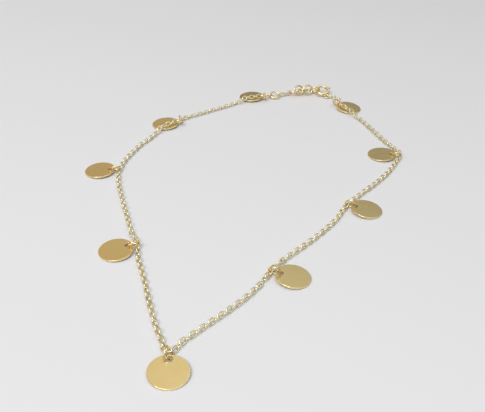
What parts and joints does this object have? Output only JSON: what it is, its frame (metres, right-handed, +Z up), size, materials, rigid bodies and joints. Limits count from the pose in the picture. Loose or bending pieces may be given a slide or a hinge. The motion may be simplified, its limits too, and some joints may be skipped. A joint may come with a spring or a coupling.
{
  "type": "anklet",
  "caption": "Fine gold cable-chain anklet with small round discs hanging from jump rings, an extension of rings and a spring-ring clasp, lying fastened in a loop.",
  "frame": {"origin": "centre of the anklet's box in plan, on the surface it lies on", "axes": "+Z up, square to the plane the anklet lies in; +Y along its longer side, towards the clasp"},
  "size_m": [0.0722, 0.112, 0.0027],
  "materials": {
    "disc_gold": "polished with fine hairline brushing",
    "ring_gold": "polished",
    "chain_gold": "polished",
    "clasp_gold": "polished",
    "bolt_gold": "polished, lightly worn"
  },
  "bodies": {
    "root": {"carrier_link_1": "chain_gold", "carrier_link_2": "chain_gold", "carrier_link_3": "chain_gold", "carrier_link_4": "chain_gold", "carrier_link_5": "chain_gold", "carrier_link_6": "chain_gold", "carrier_link_7": "chain_gold", "carrier_link_8": "chain_gold", "carrier_link_9": "chain_gold", "chain_1": "chain_gold", "chain_10": "chain_gold", "chain_2": "chain_gold", "chain_3": "chain_gold", "chain_4": "chain_gold", "chain_5": "chain_gold", "chain_6": "chain_gold", "chain_7": "chain_gold", "chain_8": "chain_gold", "chain_9": "chain_gold", "clasp_ring": "clasp_gold", "disc_1": "disc_gold", "disc_2": "disc_gold", "disc_3": "disc_gold", "disc_4": "disc_gold", "disc_5": "disc_gold", "disc_6": "disc_gold", "disc_7": "disc_gold", "disc_8": "disc_gold", "disc_9": "disc_gold", "disc_ring_1": "ring_gold", "disc_ring_2": "ring_gold", "disc_ring_3": "ring_gold", "disc_ring_4": "ring_gold", "disc_ring_5": "ring_gold", "disc_ring_6": "ring_gold", "disc_ring_7": "ring_gold", "disc_ring_8": "ring_gold", "disc_ring_9": "ring_gold", "extension_link_1": "chain_gold", "extension_link_2": "chain_gold", "extension_link_3": "chain_gold", "extension_link_4": "chain_gold", "extension_ring_1": "ring_gold", "extension_ring_2": "ring_gold", "extension_ring_3": "ring_gold", "extension_ring_4": "ring_gold", "extension_ring_5": "ring_gold", "extension_ring_6": "ring_gold"},
    "bolt": {"clasp_bolt": "bolt_gold"}
  },
  "joints": [
    {"name": "clasp_opening", "type": "hinge", "parent": "root", "child": "bolt", "pos_m": [0.01989, 0.05415, 0.00128], "axis": [0, 0.342, -0.9397], "range_deg": [0, 50], "stiffness_Nm_per_rad": 0.0005, "springref_deg": -45.84}
  ]
}
